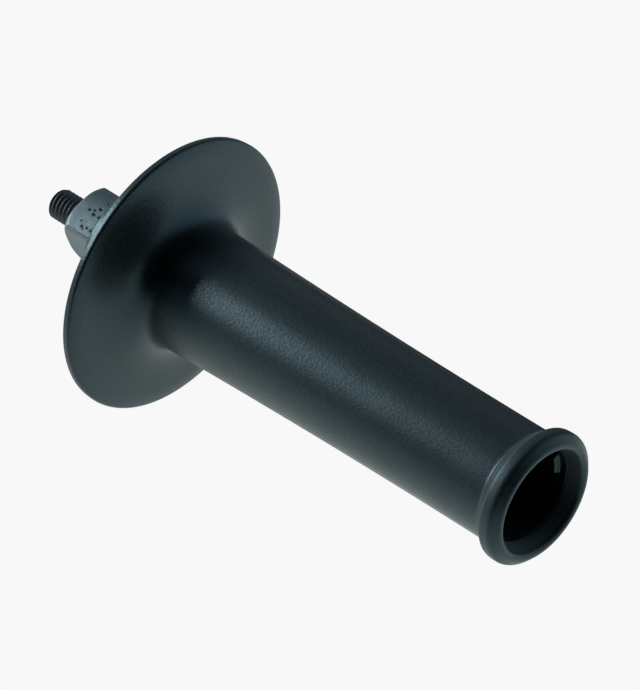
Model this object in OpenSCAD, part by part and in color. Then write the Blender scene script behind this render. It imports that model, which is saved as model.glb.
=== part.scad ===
// Side handle for a power tool.
// A hollow moulded grip with a round hand guard is held by a metal insert, and screws to the tool
// by the threaded stud that stands out of the insert.
// The handle's axis is X. The origin is the middle of the insert's end face, where the stud leaves
// it: the stud points to -X, and the open end of the grip is at +X.

/* [Stud] */
// Outer diameter of the stud's thread
stud_d = 8; // [6:1:12]
// How far the stud stands out of the insert
stud_reach = 9.7; // [6:0.1:30]
// How deep the stud is set in the insert
stud_depth = 18; // [14:0.5:21]
// Chamfer round the stud's tip
stud_chamfer = 0.6; // [0.3:0.1:1.5]
// Depth of the ring grooves that lock the stud in the insert
lock_groove_depth = 0.7; // [0.3:0.1:1.2]
// Length of one lock groove along the stud
lock_groove_len = 1.5; // [1:0.1:2.5]
// Number of lock grooves
lock_groove_count = 3; // [1:1:4]

/* [Insert] */
// Width across the flats of the insert's square
square_w = 14; // [13.5:0.5:17]
// Length of the square that stands out of the hub
square_len = 13; // [9:0.5:20]
// Diameter of the flat end face, inside the turned chamfer
end_face_d = 15.3; // [12.5:0.1:17]
// Angle that the square is turned about the handle's axis
square_turn = 19; // [0:0.5:89.5]
// Length of the square inside the hub, in front of the neck
seat_len = 3.4; // [2:0.2:5]
// Diameter of the neck, round which the moulding grips
neck_d = 12; // [11:0.5:13]
// Length of the neck
neck_len = 5; // [3:0.5:7]
// Length of the square key behind the neck
key_len = 7; // [4:0.5:9]

/* [Hub] */
// Diameter of the hub in front of the guard
hub_d = 29; // [27:0.5:32]
// Length of the hub, from its front face to the guard's rim
hub_len = 17.6; // [14:0.1:20]
// Rounding of the hub's front edge
hub_edge_r = 0.8; // [0.3:0.1:1.5]
// Fillet between the hub and the guard
hub_fillet_r = 3.5; // [2:0.5:6]

/* [Guard] */
// Diameter of the hand guard
guard_d = 72; // [64:1:84]
// Slope of the guard's face on the hand side
guard_slope = 5; // [2:0.5:10]
// Slope of the guard's face on the tool side
guard_front_slope = 4; // [2:0.5:5]
// Width of the flat band round the guard's rim
rim_band = 0.9; // [0.3:0.1:2]
// Rounding of the guard's rim on the hand side
rim_rear_r = 1.1; // [0.6:0.1:2.5]
// Rounding of the guard's rim on the tool side
rim_front_r = 0.4; // [0.2:0.1:1]
// Fillet of the trumpet between the guard and the grip
trumpet_r = 8.6; // [6:0.1:11]

/* [Grip] */
// Diameter of the grip where the trumpet ends
grip_root_d = 32.1; // [30.5:0.1:34]
// Diameter of the grip at its waist
grip_waist_d = 29; // [27.5:0.1:30]
// Distance of the waist from the guard's rim
grip_waist_at = 106; // [95:1:111]
// Distance of the lip of the open end from the guard's rim
grip_len = 120; // [118:0.5:140]

/* [End bead] */
// Outer diameter of the bead round the open end
bead_d = 34.2; // [32.4:0.1:37]
// Rounding of the bead's crest
bead_r = 2.2; // [1.6:0.1:2.6]
// Distance of the bead's crest from the lip
bead_back = 3.2; // [2.7:0.1:4]
// Slope of the flare from the grip up to the crest
bead_slope = 42; // [30:1:60]
// Fillet where the flare leaves the grip
bead_fillet_r = 0.9; // [0.3:0.1:1.5]
// Diameter of the circle round which the lip is rounded
lip_d = 29.2; // [28:0.1:30]
// Rounding of the lip
lip_r = 0.85; // [0.4:0.05:1]

/* [Bore] */
// Diameter of the bore behind the mouth
bore_d = 24.3; // [21:0.1:25]
// Depth of the funnel-shaped mouth
mouth_depth = 4.7; // [3.5:0.1:7]
// Rounding of the step between the mouth and the bore
step_r = 0.7; // [0.3:0.1:1.2]
// Draft of the bore on each side
bore_draft = 0.25; // [0:0.05:0.6]
// Thickness of the floor between the key and the bore
floor_t = 8; // [4:0.5:14]

/* [Hidden] */
$fn = 96;

// How finely the profile's curves are drawn
arc_steps = 16;
edge_steps = 6;
waist_steps = 10;

stud_r = stud_d / 2;
lock_pitch = stud_depth / lock_groove_count;

hub_x = square_len;
neck_x = hub_x + seat_len;
key_x = neck_x + neck_len;
key_end_x = key_x + key_len;

hub_r = hub_d / 2;
rim_x = hub_x + hub_len;
guard_r = guard_d / 2;

grip_root_r = grip_root_d / 2;
grip_waist_r = grip_waist_d / 2;
waist_x = rim_x + grip_waist_at;
lip_x = rim_x + grip_len;

floor_x = key_end_x + floor_t;
step_x = lip_x - mouth_depth;
bore_r = bore_d / 2;
bore_floor_r = bore_r - (step_x - floor_x) * tan(bore_draft);

// Centres of circles are [radius from the axis, place along the axis].
// The trumpet's circle touches the sloping rear face of the guard and the grip's root
rim_rear_c = [guard_r - rim_rear_r, rim_x];
trumpet_c_r = grip_root_r + trumpet_r;
trumpet_c_x = rim_x + (rim_rear_r + trumpet_r) / cos(guard_slope)
    + (rim_rear_c[0] - trumpet_c_r) * tan(guard_slope);
trumpet_c = [trumpet_c_r, trumpet_c_x];

// The hub's fillet touches the guard's front face and the hub
rim_front_c = [guard_r - rim_front_r, rim_x - rim_band];
hub_fillet_c_r = hub_r + hub_fillet_r;
hub_fillet_c_x = rim_front_c[1] - (rim_front_r + hub_fillet_r) / cos(guard_front_slope)
    + (rim_front_c[0] - hub_fillet_c_r) * tan(guard_front_slope);
hub_fillet_c = [hub_fillet_c_r, hub_fillet_c_x];
hub_edge_c = [hub_r - hub_edge_r, hub_x + hub_edge_r];

// Circles that round the bead's crest, its lip and the step between the mouth and the bore
bead_c = [bead_d / 2 - bead_r, lip_x - bead_back];
lip_c = [lip_d / 2, lip_x - lip_r];
step_c = [bore_r + step_r, step_x];

// The flare's fillet touches the grip, and a straight flare runs from it to the crest's circle
bead_fillet_c_r = grip_waist_r + bead_fillet_r;
bead_fillet_c_x = bead_c[1]
    - ((bead_c[0] - bead_fillet_c_r) * cos(bead_slope) + bead_r + bead_fillet_r) / sin(bead_slope);
bead_fillet_c = [bead_fillet_c_r, bead_fillet_c_x];

// Angles of the straight faces that touch two of those circles
bead_face = angle_of(lip_c - bead_c) + acos((bead_r - lip_r) / norm(lip_c - bead_c));
funnel_face = angle_of(lip_c - step_c) - acos((step_r - lip_r) / norm(lip_c - step_c));

// Points along a circle. An angle of 0 points along +X, and 90 points away from the axis
function arc(centre, r, from, to, steps = arc_steps) =
    [for (i = [0:steps]) let (a = from + (to - from) * i / steps) centre + r * [sin(a), cos(a)]];

// Angle of a direction, in the same sense as for arc
function angle_of(v) = atan2(v[0], v[1]);

// Radius of the grip, which narrows along a parabola to its waist
function grip_r_at(x) = grip_waist_r
    + (grip_root_r - grip_waist_r) * pow((waist_x - x) / (waist_x - trumpet_c_x), 2);

// Half outline of the moulding, from the hub's front edge round the guard to the lip
function hub_outline() = concat(
    [[0, hub_x]],
    arc(hub_edge_c, hub_edge_r, 180, 90, edge_steps),
    arc(hub_fillet_c, hub_fillet_r, 270, 360 + guard_front_slope));

function rim_outline() = concat(
    arc(rim_front_c, rim_front_r, 180 + guard_front_slope, 90, edge_steps),
    arc(rim_rear_c, rim_rear_r, 90, guard_slope));

function grip_outline() = concat(
    arc(trumpet_c, trumpet_r, 180 + guard_slope, 270),
    [for (i = [1:waist_steps]) let (x = trumpet_c_x + (waist_x - trumpet_c_x) * i / waist_steps)
        [grip_r_at(x), x]]);

// Half outline of the end bead, its lip, and the funnel down to the bore
function mouth_outline() = concat(
    arc(bead_fillet_c, bead_fillet_r, 270, 270 + bead_slope, edge_steps),
    arc(bead_c, bead_r, 90 + bead_slope, bead_face),
    arc(lip_c, lip_r, bead_face, funnel_face, edge_steps),
    arc(step_c, step_r, funnel_face, -90, edge_steps),
    [[bore_floor_r, floor_x], [0, floor_x]]);

// Turns a solid that was drawn along Z so that it lies along X
module along_x() {
    rotate([0, 90, 0]) children();
}

// Dark steel stud with its tip chamfered and ring grooves where the insert is cast round it
module stud_solid() {
    along_x() difference() {
        rotate_extrude() polygon([
            [0, -stud_reach],
            [stud_r - stud_chamfer, -stud_reach],
            [stud_r, stud_chamfer - stud_reach],
            [stud_r, stud_depth],
            [0, stud_depth]]);
        for (i = [0:lock_groove_count - 1])
            translate([0, 0, i * lock_pitch]) difference() {
                cylinder(r = stud_d, h = lock_groove_len);
                cylinder(r = stud_r - lock_groove_depth, h = lock_groove_len);
            }
    }
}

// A square bar along the axis, turned to the insert's angle
module square_bar(from, length) {
    rotate([square_turn, 0, 0]) translate([from, -square_w / 2, -square_w / 2])
        cube([length, square_w, square_w]);
}

// The square that takes the spanner, with its end turned to a chamfer. It runs into the hub
module chamfered_square() {
    corner_r = square_w * sqrt(2) / 2;
    chamfer = corner_r - end_face_d / 2;
    intersection() {
        square_bar(0, neck_x);
        along_x() rotate_extrude() polygon([
            [0, 0],
            [end_face_d / 2, 0],
            [corner_r + 1, chamfer + 1],
            [corner_r + 1, neck_x],
            [0, neck_x]]);
    }
}

// The whole insert without the stud's hole: the moulding is shaped round its square, neck and key
module insert_solid() {
    chamfered_square();
    translate([square_len, 0, 0]) along_x() cylinder(d = neck_d, h = key_end_x - square_len);
    square_bar(key_x, key_len);
}

module handle_body() {
    color([0.13, 0.15, 0.16]) difference() {
        along_x() rotate_extrude()
            polygon(concat(hub_outline(), rim_outline(), grip_outline(), mouth_outline()));
        insert_solid();
    }
}

module square_insert() {
    color([0.5, 0.54, 0.55]) difference() {
        insert_solid();
        stud_solid();
    }
}

module threaded_stud() {
    color([0.25, 0.26, 0.28]) stud_solid();
}

handle_body();
square_insert();
threaded_stud();
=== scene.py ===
import math

import bpy
import numpy as np
from mathutils import Matrix, Vector


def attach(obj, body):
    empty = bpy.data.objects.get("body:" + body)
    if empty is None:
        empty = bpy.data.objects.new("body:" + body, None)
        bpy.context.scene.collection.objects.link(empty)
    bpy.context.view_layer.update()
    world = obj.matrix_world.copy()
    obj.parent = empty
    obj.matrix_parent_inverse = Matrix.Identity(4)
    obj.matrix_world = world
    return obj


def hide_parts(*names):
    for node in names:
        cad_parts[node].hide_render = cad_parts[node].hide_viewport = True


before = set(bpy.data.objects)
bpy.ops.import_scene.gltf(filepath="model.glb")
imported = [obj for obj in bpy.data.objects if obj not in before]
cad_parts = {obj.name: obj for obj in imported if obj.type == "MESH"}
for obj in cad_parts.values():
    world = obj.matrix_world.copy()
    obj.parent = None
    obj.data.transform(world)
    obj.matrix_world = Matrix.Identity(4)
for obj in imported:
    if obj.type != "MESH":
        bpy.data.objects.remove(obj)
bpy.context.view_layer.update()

# The sizes of shapes are in millimetres, which mesh_object turns into metres, and angles are in degrees.
# X runs along the handle, from the insert's end face at 0 to the open end. Radii are from that axis.
# The materials, the lamp and the camera are in metres
MM = 0.001

# Stud: its outside, its thread, and the plain shank inside the insert
STUD_R, STUD_REACH, STUD_CHAMFER, STUD_DEPTH = 4.0, 9.7, 0.6, 18.0
PITCH, THREAD_DEPTH, THREAD_SHARPNESS, THREAD_END_X = 1.25, 0.6, 0.7, 0.2
SHANK_X, SHANK_R = 0.4, 3.88
STUD_AROUND, RINGS_PER_PITCH = 96, 20

# Insert: its square, its neck and key inside the hub, the mouth of the stud's hole as (x, radius), the
# crown of its flats, and the small step where its square enters the hub
SQUARE_HALF, SQUARE_TURN, END_FACE_R = 7.0, 19.0, 7.65
HUB_X, NECK_X, KEY_X, KEY_END_X, NECK_R = 13.0, 16.4, 21.4, 28.4, 6.0
HOLE_R, HOLE_MOUTH = 3.9, ((0.7, 3.9), (0.2, 4.4), (0.0, 4.7))
INSERT_AROUND, SQUARE_POWER = 480, 160
END_EDGE_R, CHAMFER_SOFTNESS = 0.9, 0.8
CROWN_MIDDLE, CROWN_FALL = 0.25, 0.35
SEAT_EDGE = 0.1

# Outline of the hub, of the guard's rim, whose band leans by RIM_TAPER, and of the guard's faces. The rear
# face starts steeper by RIM_SOFT and curves to its slope with the radius RIM_SOFT_R
HUB_R, HUB_EDGE_R, HUB_FILLET_R, HUB_FACE_R = 14.5, 0.8, 3.5, 11.0
RIM_X, GUARD_R, RIM_BAND, RIM_FRONT_R, RIM_REAR_R = 30.6, 36.0, 0.95, 0.35, 0.8
RIM_TAPER, RIM_SOFT, RIM_SOFT_R = 3.5, 11.0, 20.0
GUARD_SLOPE, GUARD_FRONT_SLOPE = 5.0, 4.0

# Outline of the trumpet, which starts TRUMPET_OUT from the corner of guard and grip and ends TRUMPET_ALONG
# behind it, with two pulls that shape its curve, and of the grip
TRUMPET_OUT, TRUMPET_ALONG, TRUMPET_CORNER = 12.5, 6.5, 2.0
TRUMPET_OUTER_PULL, TRUMPET_INNER_PULL = 0.28, 0.22
GRIP_ROOT_R, GRIP_WAIST_R, ROOT_X, WAIST_X = 16.05, 14.5, 41.3, 136.6

# Outline of the bead, whose crest lies between two smaller arcs, and of the lip
BEAD_OUT_R, BEAD_R, BEAD_BACK, FLANK_R = 17.1, 1.9, 3.0, 1.2
BEAD_SLOPE, BEAD_FILLET_R = 42.0, 1.1
CREST_R, CREST_FROM, CREST_TO = 16.0, 95.0, 89.0
LIP_X, LIP_AT_R, LIP_R = 150.6, 14.5, 1.25

# Outline of the bore: the step behind the mouth, the groove at the mouth's foot, and the floor. GROOVE_AT
# gives the groove's corners as shares of its width, measured back from the step
BORE_R, BORE_DRAFT, MOUTH_DEPTH, STEP_R = 12.15, 0.25, 4.7, 0.7
GROOVE_W, GROOVE_DEEP, GROOVE_AT = 0.35, 0.35, (1.6, 1.5, 0.5, 0.4)
GROOVE_LIP, GROOVE_EDGE = 0.08, 0.1
FLOOR_X, FLOOR_RING_R = 36.4, 8.0

# Rib on the bore's wall: its end, height and angles, how long its end and its sides take to rise, the
# rings at its end, where the wall lies RIB_WALL_IN inside BORE_R, and a radius that clears the floor
RIB_X, RIB_H, RIB_FROM, RIB_TO = 144.4, 1.5, -10.0, 19.0
RIB_END, RIB_SIDE, RIB_RINGS, RIB_WALL_IN = 0.3, 2.0, (0.0, 0.1, 0.3, 0.5), 0.02
RIB_LEAST_R = 10.5

# Ridge where the mould's halves met: its two angles, its size, and how far it stays from hub and lip
SEAMS, SEAM_HEIGHT, SEAM_WIDTH = (22.0, 202.0), 0.03, 0.14
SEAM_FROM_HUB, SEAM_FROM_LIP = 0.3, 0.5

# Points round the moulding: even ones, finer ones at each seam, and the room that these and the
# square's corners need among the even ones
MOULDING_AROUND, SEAM_CLEAR, CORNER_CLEAR = 320, 0.95, 0.4
SEAM_FINE = (-0.8, -0.5, -0.3, -0.15, 0.0, 0.15, 0.3, 0.5, 0.8)

# How matt the moulding is in its funnel-shaped mouth and on its bead, and how far from the lip
# In the mouth the matt also makes the colour lighter, and that lighter colour is painted light
MOUTH_MATT_AND_PAINTED_LIGHT, MOUTH_MATT_AND_PAINTED_LIGHT_LENGTH = 1.0, 4.4
MATT_BEAD, MATT_BEAD_LENGTH = 0.45, 7.5

# Pits of the casting on the square's upper face: place along X and across the face, radius, depth
PITS = [
    (4.2, -0.1, 0.36, 0.14), (5.5, 0.4, 0.30, 0.12), (6.6, 1.4, 0.42, 0.18), (6.1, -0.6, 0.44, 0.18),
    (7.9, -0.6, 0.36, 0.15), (9.2, -0.9, 0.44, 0.18), (8.1, 1.6, 0.28, 0.12), (10.2, 0.3, 0.30, 0.12),
    (5.9, -4.7, 0.40, 0.16), (7.4, -4.5, 0.34, 0.14), (8.9, -4.6, 0.40, 0.16), (6.6, -5.3, 0.26, 0.10),
    (4.6, -3.6, 0.26, 0.10), (9.9, -5.5, 0.30, 0.12), (7.0, 3.6, 0.26, 0.10), (9.4, 4.4, 0.24, 0.10),
]
PIT_DEPTH_SCALE = 1 / 2.4
UPPER_FACE_HALF = 44.0

# Marks on the upper face: grime round the pits, a dark line along one edge, and painted shade that darkens
# the face towards the other edge. They lie only where the face stands high enough above the axis
GRIME_SPREAD, GRIME_AND_SHADE_HEIGHT, GRIME_AND_SHADE_FROM_X = 1.2, 5.5, 0.3
DARK_LINE, DARK_LINE_AT, DARK_LINE_W, DARK_LINE_X = 0.8, -6.75, 0.22, 2.2
FACE_PAINTED_SHADE, FACE_PAINTED_SHADE_FROM, FACE_PAINTED_SHADE_REACH = 0.36, -0.5, 5.0

# Level of the plain background, shares of light from the floor and from the room, and the floor's sizes
BACKGROUND, FLOOR_GLOW, ROOM_LEVEL = 0.9387, 1.07, 1.12
FLOOR_Z, FLOOR_HALF, FLOOR_BACK = -350.0, 4000.0, 1000.0


def rgba(colour):
    """A colour with its alpha, from one level of grey or from three levels."""
    return (colour, colour, colour, 1.0) if isinstance(colour, (int, float)) else (*colour, 1.0)


class Nodes:
    """Short calls for building the node tree of a material or of the world."""

    def __init__(self, owner):
        owner.use_nodes = True
        self.owner = owner
        self.tree = owner.node_tree
        self.tree.nodes.clear()
        self.out = self.add("OutputMaterial" if isinstance(owner, bpy.types.Material) else "OutputWorld")

    def add(self, kind, **values):
        n = self.tree.nodes.new("ShaderNode" + kind)
        for k, v in values.items():
            setattr(n, k, v)
        return n

    def link(self, a, b):
        self.tree.links.new(a, b)

    def put(self, socket, value):
        """Links a socket to another, or gives it a constant value."""
        if isinstance(value, bpy.types.NodeSocket):
            self.link(value, socket)
        else:
            socket.default_value = value

    def shader(self, kind, inputs):
        """A shader, with a value or a socket for each input that is named."""
        n = self.add(kind)
        for name, value in inputs.items():
            self.put(n.inputs[name], value)
        return n

    def finish(self, shader):
        """Ends the tree in a shader, and returns its material or world."""
        self.link(shader.outputs[0], self.out.inputs["Surface"])
        return self.owner

    def position(self):
        return self.add("NewGeometry").outputs["Position"]

    def attribute(self, name):
        return self.add("Attribute", attribute_name=name).outputs["Fac"]

    def calc(self, op, a, b):
        n = self.add("Math", operation=op)
        self.put(n.inputs[0], a)
        self.put(n.inputs[1], b)
        return n.outputs[0]

    def plus(self, a, b):
        return self.calc("ADD", a, b)

    def times(self, a, b):
        return self.calc("MULTIPLY", a, b)

    def most(self, a, b):
        return self.calc("MAXIMUM", a, b)

    def rest_of(self, a):
        return self.calc("SUBTRACT", 1.0, a)

    def dot(self, a, axis):
        n = self.add("VectorMath", operation="DOT_PRODUCT")
        self.link(a, n.inputs[0])
        n.inputs[1].default_value = axis
        return n.outputs["Value"]

    def ramp(self, value, start, end, low=0.0, high=1.0):
        """A smooth step from one level to another."""
        n = self.add("MapRange", interpolation_type="SMOOTHSTEP")
        self.link(value, n.inputs["Value"])
        for name, v in (("From Min", start), ("From Max", end), ("To Min", low), ("To Max", high)):
            n.inputs[name].default_value = v
        return n.outputs["Result"]

    def patch(self, direction, middle, outer, inner, low, high):
        """A round patch about a direction: low beyond the outer angle, high within the inner one."""
        away = self.dot(direction, Vector(middle).normalized())
        return self.ramp(away, math.cos(math.radians(outer)), math.cos(math.radians(inner)), low, high)

    def mix(self, factor, a, b):
        n = self.add("MixShader")
        self.link(factor, n.inputs[0])
        self.link(a.outputs[0], n.inputs[1])
        self.link(b.outputs[0], n.inputs[2])
        return n

    def noise(self, where, scale, detail=2.0, rough=0.5):
        n = self.add("TexNoise")
        self.link(where, n.inputs["Vector"])
        n.inputs["Scale"].default_value = scale
        n.inputs["Detail"].default_value = detail
        n.inputs["Roughness"].default_value = rough
        return n.outputs["Fac"]

    def steps(self, value, stops):
        """Colours or levels that run from one stop to the next."""
        n = self.add("ValToRGB")
        e = n.color_ramp.elements
        while len(e) > 1:
            e.remove(e[-1])
        e[0].position, e[0].color = stops[0][0], rgba(stops[0][1])
        for at, c in stops[1:]:
            e.new(at).color = rgba(c)
        self.link(value, n.inputs["Fac"])
        return n.outputs["Color"]

    def bump(self, height, distance, strength=1.0, normal=None):
        n = self.add("Bump")
        n.inputs["Strength"].default_value = strength
        n.inputs["Distance"].default_value = distance
        self.link(height, n.inputs["Height"])
        if normal is not None:
            self.link(normal, n.inputs["Normal"])
        return n.outputs["Normal"]


def plastic():
    """Black satin moulding with an eroded grain, a little mottled, and greyer and duller where matt. In
    its mouth the greyer colour is painted light.
    """
    m = Nodes(bpy.data.materials.new("moulded_plastic"))
    where, matt_and_painted_light = m.position(), m.attribute("matt_and_painted_light")
    mottle = m.noise(where, scale=1600.0, detail=3.0, rough=0.65)
    # Where matt, the colour grows lighter; in the mouth this lighter colour is painted light
    shade = m.plus(m.times(m.times(matt_and_painted_light, matt_and_painted_light), 0.5), m.times(mottle, 0.5))
    colour = m.steps(shade, [
        (0.17, (0.0095, 0.0125, 0.013)), (0.33, (0.024, 0.032, 0.034)),
        (0.50, (0.033, 0.043, 0.045)), (0.90, (0.075, 0.100, 0.105))])
    satin = m.steps(m.noise(where, scale=90.0, detail=3.0), [(0.3, 0.31), (0.7, 0.36)])
    broad = m.bump(m.noise(where, scale=1250.0, detail=3.0, rough=0.6), distance=0.000046)
    grain = m.bump(m.noise(where, scale=3600.0, detail=2.0, rough=0.6), distance=0.000015, normal=broad)
    return m.finish(m.shader("BsdfPrincipled", {
        "Base Color": colour,
        "Roughness": m.plus(satin, m.times(matt_and_painted_light, 0.25)),
        "IOR": 1.5,
        "Specular Tint": rgba((0.60, 0.97, 1.13)),
        "Normal": grain}))


def cast_metal():
    """Pale die-cast metal, finely pitted all over, dark in dirty pits, along a line and in painted shade.
    """
    m = Nodes(bpy.data.materials.new("cast_insert"))
    where, grime_and_painted_shade = m.position(), m.attribute("grime_and_painted_shade")
    # Dirt in the pits, a dark line and painted shade all darken the metal's colour
    colour = m.steps(grime_and_painted_shade, [(0.05, (0.182, 0.235, 0.255)), (0.65, (0.028, 0.036, 0.04))])
    grain = m.bump(m.noise(where, scale=1400.0, detail=3.0, rough=0.6), distance=0.00003, strength=0.8)
    return m.finish(m.shader("BsdfPrincipled", {
        "Base Color": colour,
        "Metallic": 1.0,
        "Roughness": m.steps(m.noise(where, scale=500.0, detail=3.0), [(0.3, 0.30), (0.7, 0.40)]),
        "Normal": grain}))


def dark_steel():
    """Dark oiled steel with a faint roughness of its own."""
    m = Nodes(bpy.data.materials.new("stud_steel"))
    return m.finish(m.shader("BsdfPrincipled", {
        "Base Color": rgba((0.085, 0.095, 0.105)),
        "Metallic": 1.0,
        "Roughness": 0.6,
        "Normal": m.bump(m.noise(m.position(), scale=2500.0), distance=0.000008)}))


def floor_white():
    """The pale floor: one plain level to the camera, and painted shade at its left and front in
    reflections.
    """
    m = Nodes(bpy.data.materials.new("floor_white"))
    path, where = m.add("LightPath"), m.position()
    left, back, front = (m.dot(where, axis) for axis in ((-1, 0, 0), (0, 1, 0), (0, -1, 0)))
    # Painted shade in the floor's glow, seen only in reflections: at its left, back and front
    painted_shade_left = m.times(m.times(m.ramp(left, 0.06, 0.28), m.ramp(left, 0.37, 0.57, 1.0, 0.0)),
                       m.ramp(back, -0.30, 0.28))
    painted_shade_back = m.times(m.ramp(left, 0.0, 0.2), m.ramp(back, 0.05, 0.24, high=0.45))
    painted_shade_front = m.ramp(front, 0.35, 0.90, high=0.25)
    painted_shade_all = m.most(m.most(painted_shade_left, painted_shade_back), painted_shade_front)
    shaded = m.shader("Emission", {
        "Color": rgba((0.92, 1.0, 0.975)),
        "Strength": m.times(m.rest_of(painted_shade_all), BACKGROUND * FLOOR_GLOW)})
    diffuse = m.shader("BsdfDiffuse", {"Color": rgba(0.8)})
    plain = m.shader("Emission", {"Color": rgba(BACKGROUND)})
    mirrored = m.most(path.outputs["Is Glossy Ray"], path.outputs["Is Transmission Ray"])
    return m.finish(m.mix(path.outputs["Is Camera Ray"], m.mix(mirrored, diffuse, shaded), plain))


def mesh_object(name, verts, faces):
    """An object from points in millimetres and from faces, all shaded smooth."""
    me = bpy.data.meshes.new(name)
    me.from_pydata((np.array(verts, float) * MM).tolist(), [], faces)
    me.update()
    me.polygons.foreach_set("use_smooth", [True] * len(me.polygons))
    o = bpy.data.objects.new(name, me)
    bpy.context.scene.collection.objects.link(o)
    return o


def paint(o, name, values):
    """Gives each point of an object a value that its material reads."""
    o.data.attributes.new(name, "FLOAT", "POINT").data.foreach_set("value", values)


def ring(x, r, angles):
    """Points round the axis. The place along it and the radius are one number, or one for each angle."""
    x, r = np.broadcast_to(x, angles.shape), np.broadcast_to(r, angles.shape)
    return np.column_stack([x, r * np.cos(angles), r * np.sin(angles)])


def tube(rows):
    """Vertices and faces of a tube through rings that have the same number of points."""
    around = len(rows[0])
    faces = []
    for a in range(0, (len(rows) - 1) * around, around):
        for j in range(around):
            k = (j + 1) % around
            faces.append((a + j, a + k, a + around + k, a + around + j))
    return np.vstack(rows), faces


def capped_tube(name, rows):
    """A tube through rings, with one face over each end."""
    verts, faces = tube(rows)
    around = len(rows[0])
    faces.append(tuple(reversed(range(around))))
    faces.append(tuple(range(len(verts) - around, len(verts))))
    return mesh_object(name, verts, faces)


def even_angles(around):
    """Angles of a full turn, in radians."""
    return np.arange(around) * 2 * math.pi / around


def smooth_min(a, b, k):
    """The smaller of two values, with a soft change from one to the other."""
    h = np.clip(0.5 + 0.5 * (b - a) / k, 0, 1)
    return b + (a - b) * h - k * h * (1 - h)


def thread():
    """The stud: a right-hand thread with rounded crests and roots, a chamfered tip and a plain shank."""
    angles = even_angles(STUD_AROUND)
    rows = []
    for x in np.arange(-STUD_REACH, THREAD_END_X, PITCH / RINGS_PER_PITCH):
        crest = 0.5 + 0.5 * np.cos(2 * math.pi * x / PITCH - angles)
        r = STUD_R - THREAD_DEPTH * (1.0 - crest ** THREAD_SHARPNESS)
        tip_r = STUD_R - max(0.0, STUD_CHAMFER - STUD_REACH - x)
        rows.append(ring(x, np.minimum(r, tip_r), angles))
    rows += [ring(SHANK_X, SHANK_R, angles), ring(STUD_DEPTH, SHANK_R, angles)]
    o = capped_tube("stud_thread", rows)
    for cap in (-1, -2):
        o.data.polygons[cap].use_smooth = False
    return o


def polar(centre, r, angle):
    """A point of a circle in the outline's plane, as (x, radius). 0 is along +X, and 90 is outwards."""
    a = math.radians(angle)
    return centre[0] + r * math.cos(a), centre[1] + r * math.sin(a)


def arc(centre, r, start, end, count):
    """Points along a circle from one angle to another."""
    return [polar(centre, r, a) for a in np.linspace(start, end, count)]


def line(a, b, count):
    """Points between two points, without the points themselves."""
    shares = np.linspace(0, 1, count + 2)[1:-1]
    return [(a[0] + (b[0] - a[0]) * t, a[1] + (b[1] - a[1]) * t) for t in shares]


def join(*runs, count=6):
    """Runs of points joined by straight lines of a few points."""
    out = list(runs[0])
    for run in runs[1:]:
        out += line(out[-1], run[0], count) + list(run)
    return out


def tangent(a, ra, b, rb, sign):
    """Angle at which a straight line touches two circles."""
    across = math.acos((ra - rb) / math.dist(a, b))
    return math.degrees(math.atan2(b[1] - a[1], b[0] - a[0]) + sign * across)


def hub_and_rim():
    """From the hub's front face round the guard's rim, to where the guard's straight rear face starts."""
    taper, front_slope = math.radians(RIM_TAPER), math.radians(GUARD_FRONT_SLOPE)
    rear = (RIM_X, GUARD_R - RIM_REAR_R)
    front = (RIM_X - RIM_BAND,
             rear[1] + (RIM_REAR_R - RIM_FRONT_R) / math.cos(taper) - RIM_BAND * math.tan(taper))
    fillet_r = HUB_R + HUB_FILLET_R
    fillet_x = (front[0] - (RIM_FRONT_R + HUB_FILLET_R) / math.cos(front_slope)
                + (front[1] - fillet_r) * math.tan(front_slope))
    soft = GUARD_SLOPE + RIM_SOFT
    soft_centre = polar(rear, RIM_REAR_R - RIM_SOFT_R, soft)
    return join(
        [(HUB_X, HUB_FACE_R)],
        arc((HUB_X + HUB_EDGE_R, HUB_R - HUB_EDGE_R), HUB_EDGE_R, 180, 90, 7),
        arc((fillet_x, fillet_r), HUB_FILLET_R, 270, 360 + GUARD_FRONT_SLOPE, 12),
        arc(front, RIM_FRONT_R, 180 + GUARD_FRONT_SLOPE, 90 + RIM_TAPER, 8),
        arc(rear, RIM_REAR_R, 90 + RIM_TAPER, soft, 12)
        + arc(soft_centre, RIM_SOFT_R, soft, GUARD_SLOPE, 9)[1:])


def grip_point(x):
    """A point of the grip, which narrows along a parabola to its waist."""
    share = (WAIST_X - x) / (WAIST_X - ROOT_X)
    return np.array([x, GRIP_WAIST_R + (GRIP_ROOT_R - GRIP_WAIST_R) * share ** 2])


def trumpet_and_grip(rim_end):
    """The guard's rear face, the curve that tightens from it to the grip, and the grip up to its waist."""
    slope = math.radians(GUARD_SLOPE)
    face = np.array([math.sin(slope), -math.cos(slope)])
    rim_end = np.array(rim_end)
    # The corner where the face and the grip would meet without the trumpet
    corner = rim_end + face * (rim_end[1] - grip_point(rim_end[0] + TRUMPET_CORNER)[1]) / math.cos(slope)
    start, end = corner - face * TRUMPET_OUT, grip_point(corner[0] + TRUMPET_ALONG)
    outer = corner + (start - corner) * TRUMPET_OUTER_PULL
    inner = corner + (end - corner) * TRUMPET_INNER_PULL
    t = np.linspace(0, 1, 40)[:, None]
    u = 1 - t
    curve = start * u ** 3 + 3 * outer * t * u ** 2 + 3 * inner * t ** 2 * u + end * t ** 3
    grip = [grip_point(x) for x in np.linspace(end[0], WAIST_X, 60)[1:]]
    return line(rim_end, start, 7) + list(curve) + grip


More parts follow.
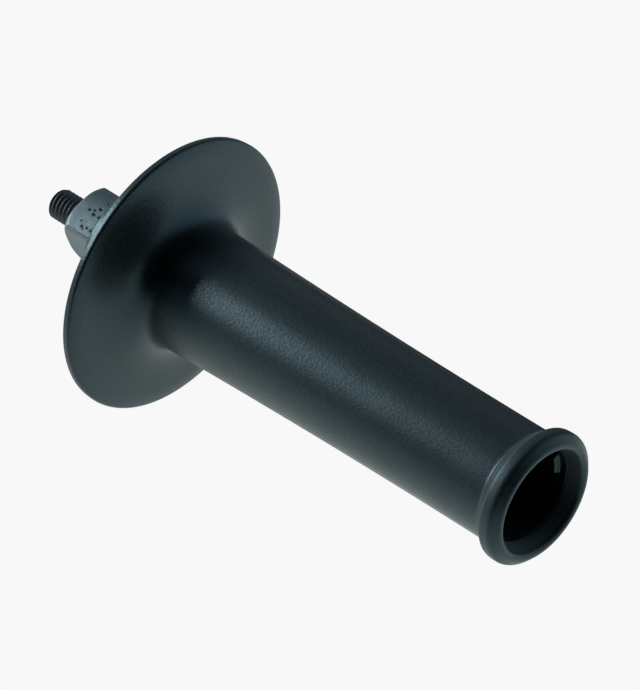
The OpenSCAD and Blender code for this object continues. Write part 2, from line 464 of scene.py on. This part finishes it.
def bead_and_lip(lip, funnel):
    """The fillet and the flare of the bead, its flank, crest and outer arc, and the lip's rounding."""
    flare = math.radians(BEAD_SLOPE)
    crest = (LIP_X - BEAD_BACK, BEAD_OUT_R - CREST_R)
    flank = polar(crest, CREST_R - FLANK_R, CREST_FROM)
    bead = polar(crest, CREST_R - BEAD_R, CREST_TO)
    fillet_r = GRIP_WAIST_R + BEAD_FILLET_R
    reach = (flank[1] - fillet_r) * math.cos(flare) + FLANK_R + BEAD_FILLET_R
    fillet_x = flank[0] - reach / math.sin(flare)
    face = tangent(bead, BEAD_R, lip, LIP_R, 1)
    return join(
        arc((fillet_x, fillet_r), BEAD_FILLET_R, 270, 270 + BEAD_SLOPE, 7),
        arc(flank, FLANK_R, 90 + BEAD_SLOPE, CREST_FROM, 8)
        + arc(crest, CREST_R, CREST_FROM, CREST_TO, 7)[1:]
        + arc(bead, BEAD_R, CREST_TO, face, 9)[1:],
        arc(lip, LIP_R, face, funnel, 12))


def mouth_and_bore(lip, step, funnel):
    """The funnel with the groove at its foot, the rounded step, the rib's end and the bore's floor."""
    funnel_from, funnel_to = np.array(polar(lip, LIP_R, funnel)), np.array(polar(step, STEP_R, funnel))
    length = math.dist(funnel_from, funnel_to)
    along = (funnel_to - funnel_from) / length
    deep = np.array([along[1], -along[0]]) * GROOVE_DEEP
    near, near_wall, far_wall, far = (funnel_from + along * (length - at * GROOVE_W) for at in GROOVE_AT)
    groove = [near, near + (near_wall - near + deep) * GROOVE_EDGE, near_wall + deep,
              far_wall + deep, far + (far_wall - far + deep) * GROOVE_EDGE, far]
    floor_r = BORE_R - (step[0] - FLOOR_X) * math.tan(math.radians(BORE_DRAFT))
    return join(
        line(funnel_from, near - along * GROOVE_LIP, 8),
        groove,
        arc(step, STEP_R, funnel, -90, 9),
        [(RIB_X - at, BORE_R - RIB_WALL_IN) for at in RIB_RINGS],
        [(FLOOR_X, floor_r), (FLOOR_X, FLOOR_RING_R)],
        count=3)


def body_outline():
    """The moulding's half outline in two runs: round the guard and grip to the lip, and into the bore."""
    lip = (LIP_X - LIP_R, LIP_AT_R)
    step = (LIP_X - MOUTH_DEPTH, BORE_R + STEP_R)
    funnel = tangent(step, STEP_R, lip, LIP_R, -1)
    rim = hub_and_rim()
    outside = join(rim + trumpet_and_grip(rim[-1]), bead_and_lip(lip, funnel))
    return outside, mouth_and_bore(lip, step, funnel)


def moulding_angles():
    """Even angles, with finer ones at the two seams and one on each corner of the square."""
    angles = even_angles(MOULDING_AROUND)
    for seam in SEAMS:
        angles = angles[np.abs(angles - math.radians(seam)) > math.radians(SEAM_CLEAR)]
        angles = np.append(angles, math.radians(seam) + np.radians(SEAM_FINE))
    corners = np.radians([SQUARE_TURN + side for side in (45, 135, 225, 315)])
    angles = angles[np.min(np.abs(angles[:, None] - corners), axis=1) > math.radians(CORNER_CLEAR)]
    return np.sort(np.append(angles, corners))


def moulding():
    """The handle's moulding, turned from its outline round the seat of the insert."""
    outer, inner = body_outline()
    outline = np.array(outer + inner)
    angles = moulding_angles()
    around = len(angles)
    along, out = outline[:, 0:1], outline[:, 1:2]
    inside = (np.arange(len(outline)) >= len(outer))[:, None]

    # The ridge where the mould's halves met stands out of the outline, on the outside only
    d = np.gradient(np.vstack([outline, (FLOOR_X, 0.0)]), axis=0)[:-1]
    normal = np.column_stack([-d[:, 1], d[:, 0]]) / np.hypot(d[:, 0], d[:, 1])[:, None]
    off = np.min([np.abs(angles - math.radians(seam)) for seam in SEAMS], axis=0) * out
    ridge = SEAM_HEIGHT * np.exp(-(off / SEAM_WIDTH) ** 2)
    ridge = ridge * (~inside & (along > HUB_X + SEAM_FROM_HUB) & (along < LIP_X - SEAM_FROM_LIP))

    # A rib on the bore's wall, which starts a little behind the mouth
    turn = (np.degrees(angles) + 180) % 360 - 180
    rib = np.clip((turn - RIB_FROM) / RIB_SIDE, 0, 1) * np.clip((RIB_TO - turn) / RIB_SIDE, 0, 1)
    rib = rib * np.clip((RIB_X - along) / RIB_END, 0, 1) * (inside & (out > RIB_LEAST_R))

    x = along + normal[:, 0:1] * ridge
    r = out + normal[:, 1:2] * ridge - rib * RIB_H

    # The seat that is moulded round the insert's key, neck and square
    from_flat = angles - math.radians(SQUARE_TURN)
    square = SQUARE_HALF / np.maximum(np.abs(np.cos(from_flat)), np.abs(np.sin(from_flat)))
    seat = [(KEY_END_X, square), (KEY_X, square), (KEY_X, NECK_R), (NECK_X, NECK_R), (NECK_X, square),
            (HUB_X, square), (HUB_X, square + SEAT_EDGE)]

    # Rings from the seat's end round the outline to the bore's floor, and a point in the middle of both
    verts, faces = tube([ring(a, b, angles) for a, b in seat + list(zip(x, r))])
    seat_middle, floor_middle, last = len(verts), len(verts) + 1, len(verts) - around
    for j in range(around):
        k = (j + 1) % around
        faces += [(seat_middle, k, j), (floor_middle, last + j, last + k)]
    verts = np.vstack([verts, (KEY_END_X, 0, 0), (FLOOR_X, 0, 0)])

    o = mesh_object("handle_moulding", verts, faces)
    # Matt on the bead, and matt with painted light in the mouth
    matt_and_painted_light = np.where(inside, MOUTH_MATT_AND_PAINTED_LIGHT * (along > LIP_X - MOUTH_MATT_AND_PAINTED_LIGHT_LENGTH),
                    MATT_BEAD * (along > LIP_X - MATT_BEAD_LENGTH))
    paint(o, "matt_and_painted_light", np.concatenate([np.zeros(len(seat) * around), np.repeat(matt_and_painted_light, around), [0, 0]]))
    return o


def casting():
    """The square insert: crowned flats between sharp edges, a turned chamfer, pits that hold dirt, and
    painted shade.
    """
    turned = even_angles(INSERT_AROUND)
    angles = turned + math.radians(SQUARE_TURN)
    cos_p, sin_p = np.abs(np.cos(turned)) ** SQUARE_POWER, np.abs(np.sin(turned)) ** SQUARE_POWER
    square = SQUARE_HALF / (cos_p + sin_p) ** (1 / SQUARE_POWER)
    from_middle = (turned + math.pi / 4) % (math.pi / 2) - math.pi / 4
    crown = CROWN_MIDDLE - CROWN_FALL * np.tan(from_middle) ** 2

    # Place across the upper face, and which directions point to that face
    from_upper = turned - math.pi / 2
    across = -SQUARE_HALF * np.tan(from_upper)
    upper = np.abs((from_upper + math.pi) % (2 * math.pi) - math.pi) < math.radians(UPPER_FACE_HALF)

    def side(x):
        """Radius in each direction at a place along the square, with its chamfer, end edge and pits."""
        r = smooth_min(square + crown, END_FACE_R + x, CHAMFER_SOFTNESS)
        if x < END_EDGE_R:
            r = r - END_EDGE_R + math.sqrt(END_EDGE_R ** 2 - (END_EDGE_R - x) ** 2)
        for pit_x, pit_t, pit_r, pit_deep in PITS:
            d2 = ((x - pit_x) ** 2 + (across - pit_t) ** 2) / pit_r ** 2
            r = r - upper * pit_deep * PIT_DEPTH_SCALE * np.exp(-d2 ** 2)
        return r

    rows = [ring(x, r, angles) for x, r in ((STUD_DEPTH, HOLE_R), *HOLE_MOUTH)]
    face_r = HOLE_MOUTH[-1][1]
    rows += [ring(0.0, face_r + (side(0.0) - face_r) * share, angles) for share in (0.3, 0.6, 0.9, 1.0)]
    edge_x = END_EDGE_R * (1 - np.cos(np.linspace(0, math.pi / 2, 13)[1:]))
    rows += [ring(x, side(x), angles) for x in edge_x]
    sharp_from = len(rows) * INSERT_AROUND
    rows += [ring(x, side(x), angles) for x in np.linspace(END_EDGE_R, HUB_X, 100)[1:]]
    rows += [ring(x, r, angles) for x, r in (
        (HUB_X + SEAT_EDGE, square), (NECK_X, square), (NECK_X, NECK_R), (KEY_X, NECK_R),
        (KEY_X, square), (KEY_END_X, square))]
    o = capped_tube("insert_casting", rows)

    corners = {INSERT_AROUND // 8 + k * INSERT_AROUND // 4 for k in range(4)}
    for e in o.data.edges:
        a, b = (v % INSERT_AROUND for v in e.vertices)
        e.use_edge_sharp = a == b and a in corners and min(e.vertices) >= sharp_from

    # Place of each point along the axis, across the upper face, and above the axis as that face looks
    turn = math.radians(SQUARE_TURN)
    x, y, z = np.vstack(rows).T
    t, height = y * math.cos(turn) + z * math.sin(turn), z * math.cos(turn) - y * math.sin(turn)
    grime_and_painted_shade = np.zeros(len(x))
    for pit_x, pit_t, pit_r, _ in PITS:
        d2 = ((x - pit_x) ** 2 + (t - pit_t) ** 2) / (GRIME_SPREAD * pit_r) ** 2
        grime_and_painted_shade = np.maximum(grime_and_painted_shade, np.exp(-d2))
    # A dark line along one edge of the upper face
    edge_line = np.exp(-((t - DARK_LINE_AT) / DARK_LINE_W) ** 2) * (x > DARK_LINE_X)
    # Painted shade, which makes the upper face darker towards its other edge
    face_painted_shade = np.clip((t - FACE_PAINTED_SHADE_FROM) / FACE_PAINTED_SHADE_REACH, 0, 1)
    grime_and_painted_shade = np.maximum(grime_and_painted_shade, np.maximum(DARK_LINE * edge_line, FACE_PAINTED_SHADE * face_painted_shade))
    paint(o, "grime_and_painted_shade", grime_and_painted_shade * ((height > GRIME_AND_SHADE_HEIGHT) & (x > GRIME_AND_SHADE_FROM_X) & (x <= HUB_X)))
    return o


def room():
    """The room that lights the handle. The camera sees only the plain background."""
    w = Nodes(bpy.data.worlds.new("World"))
    direction = w.add("TexCoord").outputs["Generated"]
    x, y, z = (w.dot(direction, axis) for axis in ((1, 0, 0), (0, 1, 0), (0, 0, 1)))
    # Light comes from the back, with dimmer parts in the middle, overhead and in the low left corner
    towards_back = w.plus(w.dot(direction, (-0.35, 1.0, -0.3)), 0.3)
    back = w.ramp(towards_back, 0.0, 0.38, high=0.41)
    middle = w.times(w.ramp(x, -0.62, -0.42, high=0.75), w.ramp(x, 0.0, 0.35, 1.0, 0.0))
    ceiling = w.times(w.ramp(z, 0.6, 0.85), w.ramp(x, -0.45, -0.1))
    corner = w.patch(direction, (-0.60, 0.75, -0.30), outer=30, inner=5, low=1.0, high=0.25)
    back = w.times(w.times(w.times(back, w.rest_of(middle)), w.rest_of(ceiling)), corner)
    # Softer light comes from the left, from above, from the stud's end and off a low wall at the right
    left = w.patch(direction, (-0.72, -0.69, 0.0), outer=42, inner=10, low=0.0, high=0.40)
    above = w.patch(direction, (-0.60, -0.20, 0.77), outer=27, inner=0, low=0.0, high=0.30)
    end = w.patch(direction, (-0.96, -0.15, 0.20), outer=30, inner=8, low=0.0, high=1.1)
    low = w.ramp(z, 0.0, 0.7, 1.0, 0.0)
    wall = w.times(w.ramp(x, -0.3, 0.3, high=0.45), w.times(low, w.ramp(y, 0.0, 0.4)))
    total = w.plus(w.most(back, left), w.plus(w.plus(above, end), wall))
    lit = w.shader("Background", {
        "Color": rgba((0.70, 0.88, 1.0)),
        "Strength": w.times(total, ROOM_LEVEL)})
    plain = w.shader("Background", {"Color": rgba(BACKGROUND)})
    return w.finish(w.mix(w.add("LightPath").outputs["Is Camera Ray"], lit, plain))


def placed(data, at, right, up, back):
    """An object for a lamp or a camera, which looks away from its back direction."""
    o = bpy.data.objects.new(data.name, data)
    o.matrix_world = Matrix.Translation(at) @ Matrix((right, up, back)).transposed().to_4x4()
    bpy.context.scene.collection.objects.link(o)
    return o


def softbox():
    """The key lamp, to the left of the camera, with its long side across the handle's axis."""
    light = bpy.data.lights.new("key", "AREA")
    light.shape = "RECTANGLE"
    light.size, light.size_y = 0.23, 0.105
    light.energy = 1.60
    aim, distance = Vector((0.043, 0, 0)), 0.45
    back = Vector((-0.712, -0.4706, 0.5185)).normalized()
    right = Vector((1, 0, 0)).cross(back).normalized()
    placed(light, aim + back * distance, right, back.cross(right), back)


def photo_camera():
    """The camera of the photo, as fitted to the outline of the handle."""
    cam = bpy.data.cameras.new("camera")
    cam.lens, cam.sensor_width = 260.219, 36
    cam.clip_start, cam.clip_end = 0.01, 20
    azimuth, elevation, roll, distance = 0.773447, 0.692944, -0.005178, 1.170
    target = Vector((0.0794005, 0, 0.0059310))
    flat = math.cos(elevation)
    back = Vector((math.sin(azimuth) * flat, -math.cos(azimuth) * flat, math.sin(elevation)))
    right = Vector((0, 0, 1)).cross(back).normalized()
    up = back.cross(right)
    right, up = (math.cos(roll) * right + math.sin(roll) * up,
                 math.cos(roll) * up - math.sin(roll) * right)
    bpy.context.scene.camera = placed(cam, target + distance * back, right, up, back)


for piece, mat, node, slot in ((moulding(), plastic(), "handle_body", "moulded_plastic"),
                               (casting(), cast_metal(), "square_insert", "cast_insert"),
                               (thread(), dark_steel(), "threaded_stud", "stud_steel")):
    piece.data.materials.append(mat)
    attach(piece, "root")
    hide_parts(node)

floor_corners = ((-FLOOR_HALF, -FLOOR_HALF), (FLOOR_HALF, -FLOOR_HALF),
                 (FLOOR_HALF, FLOOR_BACK), (-FLOOR_HALF, FLOOR_BACK))
floor = mesh_object("floor", [(x, y, FLOOR_Z) for x, y in floor_corners], [(0, 1, 2, 3)])
floor.data.materials.append(floor_white())

bpy.context.scene.world = room()
softbox()
photo_camera()
bpy.context.scene.view_settings.view_transform = "Standard"
